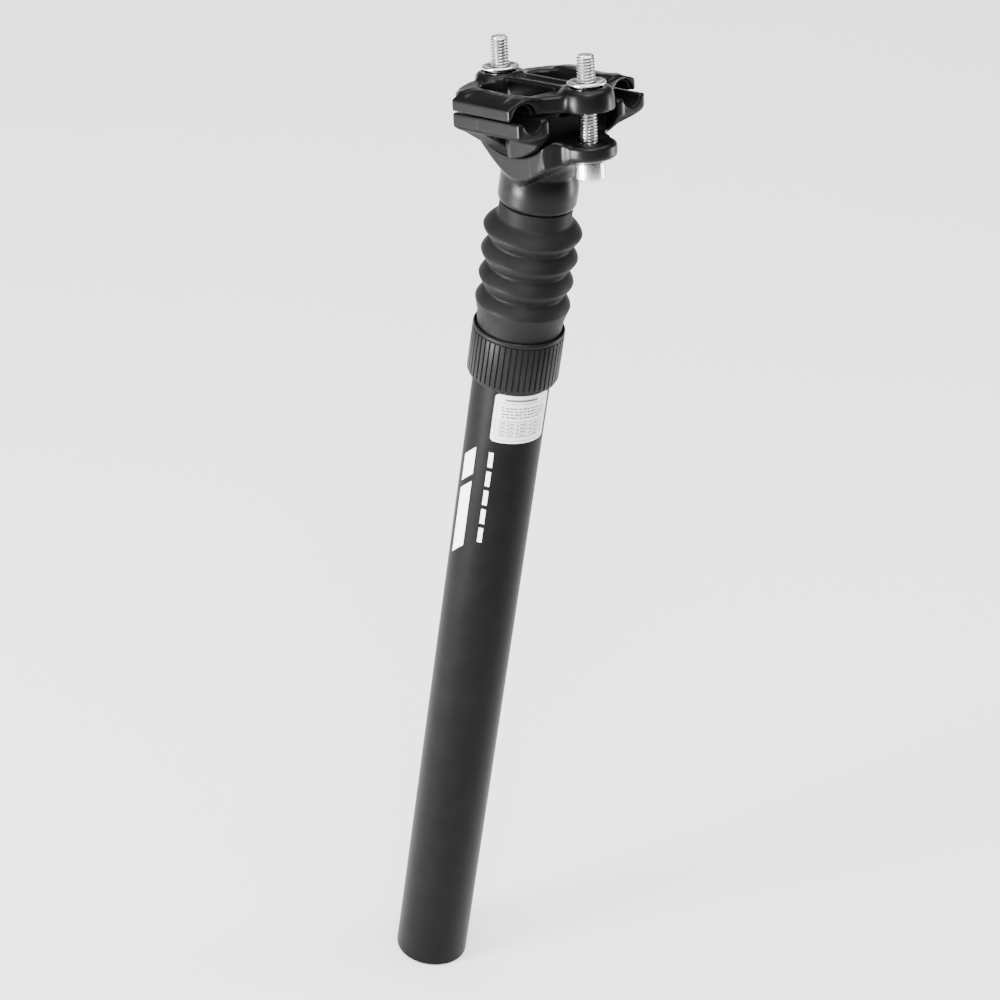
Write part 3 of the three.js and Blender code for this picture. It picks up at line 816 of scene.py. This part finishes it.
def make_collar(material):
    samples = RIBS * 12
    angle = np.arange(samples) * 2 * math.pi / samples
    phase = (angle * RIBS / (2 * math.pi)) % 1
    tooth = np.clip((0.5 - np.abs(phase - 0.5) - 0.09) / 0.07, 0, 1)
    ribbed = RIB_ROOT + (RIB_CREST - RIB_ROOT) * tooth
    # Up the outside, over the rolled lip, down into the mouth and back down the bore.
    rings = [
        (13.9, 259.5),
        (15.1, 259.4),
        (15.45, 259.7),
        (15.5, 260.5),
        (15.5 + (ribbed - 15.5) * 0.6, 260.6),
        (ribbed, 261.0),
        (ribbed, 276.9),
        (15.6 + (ribbed - 15.6) * 0.6, 277.4),
        (15.6, 277.5),
        (15.85, 277.75),
        (16.02, 278.1),
        (15.98, 278.6),
        (15.75, 279.0),
        (15.55, 279.2),
        (15.37, 279.05),
        (15.3, 278.7),
        (15.3, 276.3),
        (12.6, 276.3),
        (12.6, 274.3),
        (13.9, 274.3),
    ]
    points, faces = ringed(rings, angle), skin(len(rings), samples, closed=True)
    collar = mesh_object("ribbed_collar", points, faces, smooth_angle=40)
    stand_for(collar, "knurled_collar", "collar", material)


# ---- tube, label, print and spring ----


def wrapped_patch(start, end, low, high, outer, thickness, corner=0.0, slant=0.0):
    """Points and faces of a thin rectangle wrapped round the tube, with rounded corners or slanted ends."""
    columns = max(3, int((end - start) / 1.5))
    share = 0.5 - 0.5 * np.cos(np.linspace(0, math.pi, columns))
    angle = np.radians(start + (end - start) * share)
    width = math.radians(end - start) * outer
    inset = corner - np.minimum(np.minimum(share, 1 - share) * width, corner)
    trim = corner - np.sqrt(np.maximum(corner**2 - inset**2, 0))
    shift = (share - 0.5) * slant
    rings = []
    for radius, height in (
        (outer, low + trim + shift),
        (outer, high - trim + shift),
        (outer - thickness, high - trim + shift),
        (outer - thickness, low + trim + shift),
    ):
        rings.append(np.stack([radius * np.cos(angle), radius * np.sin(angle), height], axis=-1))
    points = np.stack(rings, axis=1).reshape(-1, 3)
    faces = [(3, 2, 1, 0), tuple((columns - 1) * 4 + k for k in range(4))]
    for i in range(columns - 1):
        for k in range(4):
            n = (k + 1) % 4
            faces.append((i * 4 + k, i * 4 + n, i * 4 + 4 + n, i * 4 + 4 + k))
    return points, faces


def printed(name, parts, material):
    """Thin ink on the tube, as one piece."""
    ink = mesh_object(name, *joined(parts))
    ink.data.materials.append(material)
    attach(ink, "tube")


def label_lines():
    """Patches for a heading bar, border lines, rows of dashes and a table of dashes. None is lettering."""
    lines = [(130, 180, 255.7, 256.5), (122, 199, 254.7, 254.85)]
    lines += [(119.5, 120, 241, 256), (122, 199, 240, 240.15)]
    for row in range(4):
        height = 252.7 - row * 1.2
        for dash in range(11):
            start = 126 + dash * 6.4 + row * 0.7
            lines.append((start, start + 3.6 + (dash + row) % 3, height, height + 0.5))
    for row in range(5):
        height = 247.6 - row * 1.5
        lines.append((127, 195, height, height + 0.18))
    for start in (127, 139, 153, 174, 194.2):
        lines.append((start, start + 0.9, 241.6, 247.7))
    for row in range(4):
        for column, start in enumerate((129, 141.5, 157, 178)):
            lines.append((start, start + 6 + 3 * (column > 1), 246.6 - row * 1.5, 247.0 - row * 1.5))
    return lines


def make_tube(material):
    outline = [(TUBE_BORE, 0), (TUBE_RADIUS, 0), (TUBE_RADIUS, TUBE_LENGTH), (TUBE_BORE, TUBE_LENGTH)]
    points, faces = turned(rounded(outline, 0.35), 192)
    stand_for(mesh_object("round_tube", points, faces), "outer_tube", "tube", material)


def make_label(film, ink, paint):
    points, faces = wrapped_patch(*LABEL, LABEL_RADIUS, LABEL_THICKNESS, corner=LABEL_CORNER)
    stand_for(mesh_object("label_film", points, faces), "label", "tube", film)
    lines = [wrapped_patch(*line, LABEL_PRINT_RADIUS, PRINT_THICKNESS) for line in label_lines()]
    printed("label_print", lines, ink)
    marks = []
    for stripe in STRIPES:
        marks.append(wrapped_patch(*stripe, TUBE_PRINT_RADIUS, PRINT_THICKNESS, slant=STRIPE_SLANT))
    start, end, low, high = BAR
    for dash in range(BARS):
        rise = dash * BAR_PITCH
        marks.append(wrapped_patch(start, end, low + rise, high + rise, TUBE_PRINT_RADIUS, PRINT_THICKNESS))
    printed("tube_stripes", marks, paint)


def make_spring(material):
    """The coil spring, a round wire wound about Z."""
    steps, around = SPRING_TURNS * 36, 16
    share = np.linspace(0, 1, steps + 1)
    angle = share * SPRING_TURNS * 2 * math.pi
    height = SPRING_LOW + (SPRING_HIGH - SPRING_LOW) * share
    ring = np.arange(around) * 2 * math.pi / around
    reach = SPRING_RADIUS + SPRING_WIRE * np.cos(ring)[None, :]
    points = np.stack(
        [
            reach * np.cos(angle)[:, None],
            reach * np.sin(angle)[:, None],
            height[:, None] + SPRING_WIRE * np.sin(ring)[None, :],
        ],
        axis=-1,
    ).reshape(-1, 3)
    faces = [tuple(range(around)), tuple(steps * around + j for j in range(around))[::-1]]
    for i in range(steps):
        for j in range(around):
            k = (j + 1) % around
            faces.append((i * around + j, (i + 1) * around + j, (i + 1) * around + k, i * around + k))
    spring = mesh_object("coil_spring", points, faces)
    stand_for(spring, "main_spring", "spring_carrier", material)
    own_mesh(spring)


# ---- camera, light and floor ----


def place_camera():
    azimuth, elevation, roll = math.radians(AZIMUTH), math.radians(ELEVATION), math.radians(ROLL)
    back = Vector(
        (
            math.sin(azimuth) * math.cos(elevation),
            -math.cos(azimuth) * math.cos(elevation),
            math.sin(elevation),
        )
    )
    level = Vector((math.cos(azimuth), math.sin(azimuth), 0))
    upright = back.cross(level)
    right = math.cos(roll) * level + math.sin(roll) * upright
    up = -math.sin(roll) * level + math.cos(roll) * upright
    data = bpy.data.cameras.new("camera")
    data.sensor_width = 36
    data.lens = LENS
    data.clip_end = 20
    camera = bpy.data.objects.new("camera", data)
    place = Vector((0, 0, AIM_HEIGHT)) + back * DISTANCE + right * SHIFT_RIGHT + up * SHIFT_UP
    camera.matrix_world = Matrix(
        (
            (right.x, up.x, back.x, place.x),
            (right.y, up.y, back.y, place.y),
            (right.z, up.z, back.z, place.z),
            (0, 0, 0, 1),
        )
    )
    bpy.context.scene.collection.objects.link(camera)
    bpy.context.scene.camera = camera
    return right, back


def area_light(name, place, target, size, power, size_y=None, spread=180):
    data = bpy.data.lights.new(name, "AREA")
    data.energy = power
    data.size = size
    data.spread = math.radians(spread)
    if size_y:
        data.shape = "RECTANGLE"
        data.size_y = size_y
    light = bpy.data.objects.new(name, data)
    light.location = place
    light.rotation_mode = "QUATERNION"
    light.rotation_quaternion = (target - place).to_track_quat("-Z", "Y")
    bpy.context.scene.collection.objects.link(light)


def overhead_light(height, strength, softness):
    """A wide soft light straight down, which evens out the floor."""
    data = bpy.data.lights.new("overhead light", "SUN")
    data.energy = strength
    data.angle = math.radians(softness)
    light = bpy.data.objects.new("overhead light", data)
    light.location = (0, 0, height)
    bpy.context.scene.collection.objects.link(light)


def light_the_studio(right, back):
    """A low key light on the left, a weak one on the right, a high one in front and a wide one overhead."""
    middle = Vector((0, 0, 0.2))
    flat_right = Vector((right.x, right.y, 0)).normalized()
    flat_back = Vector((back.x, back.y, 0)).normalized()
    tall = Vector((0, 0, 1))
    left = middle - flat_right * 0.85 + flat_back * 0.5 - tall * 0.02
    area_light("left soft box", left, middle, size=0.3, size_y=0.34, power=50)
    far_right = middle + flat_right * 0.9 - flat_back * 0.25 + tall * 0.05
    area_light("right soft box", far_right, middle, size=0.25, size_y=0.4, power=7)
    high = middle + flat_back * 0.75 + tall * 1.0
    area_light("high soft box", high, middle + tall * 0.1, size=0.5, power=2.0, spread=60)
    overhead_light(height=1, strength=7.5, softness=80)
    world = bpy.data.worlds.new("studio")
    world.use_nodes = True
    world.node_tree.nodes["Background"].inputs["Color"].default_value = (1, 1, 1, 1)
    world.node_tree.nodes["Background"].inputs["Strength"].default_value = 0.15
    bpy.context.scene.world = world


def lay_floor():
    bpy.ops.mesh.primitive_plane_add(size=60, location=(0, 0, -0.0005))
    floor = bpy.context.object
    floor.name = "floor"
    paint = Paint("pale floor").set(Roughness=0.8)
    paint.link(paint.mixed(paint.noise(3), (0.86, 0.86, 0.86), (0.9, 0.9, 0.9)), "Base Color")
    floor.data.materials.append(paint.material)


# ---- build ----

right, back = place_camera()
light_the_studio(right, back)
lay_floor()

anodised = black_anodised()
cast = black_casting()
zinc = bright_zinc()
rubber = boot_rubber()
moulded = collar_plastic()
finishes = {
    "inner_shaft": anodised,
    "wiper_seal": rubber,
    "top_out_ring": rubber,
    "upper_bushing": plain("white plastic", (0.72, 0.71, 0.67), (0.8, 0.79, 0.75)),
    "elastomer_rod": plain("amber elastomer", (0.5, 0.28, 0.06), (0.62, 0.38, 0.1)),
    "preload_screw": moulded,
    "upper_spring_seat": moulded,
    "lower_spring_seat": moulded,
    "thrust_washer": zinc,
    "key_left": zinc,
    "key_right": zinc,
    "swivel_washer_front": zinc,
    "swivel_washer_rear": zinc,
}
finishes["shaft_sleeve"] = finishes["upper_bushing"]
for node, material in finishes.items():
    frame["nodes"][node].data.materials.clear()
    frame["nodes"][node].data.materials.append(material)

make_tube(anodised)
make_label(
    plain("silver film", (0.66, 0.67, 0.68), (0.72, 0.73, 0.74), (0.3, 0.42), Metallic=0.3),
    plain("grey ink", (0.07, 0.07, 0.075), (0.12, 0.12, 0.125)),
    plain("white paint", (0.8, 0.8, 0.79), (0.86, 0.86, 0.85)),
)
make_spring(plain("spring steel", (0.3, 0.31, 0.33), (0.4, 0.41, 0.43), (0.3, 0.45), Metallic=1.0))
make_castings(cast, shaded_casting())
# The darker metal in the thread grooves is painted shade.
make_fasteners(zinc, plain("painted shade in thread roots", (0.2, 0.2, 0.2), (0.3, 0.3, 0.3), (0.4, 0.5), Metallic=1.0))
make_boot(rubber)
make_collar(moulded)
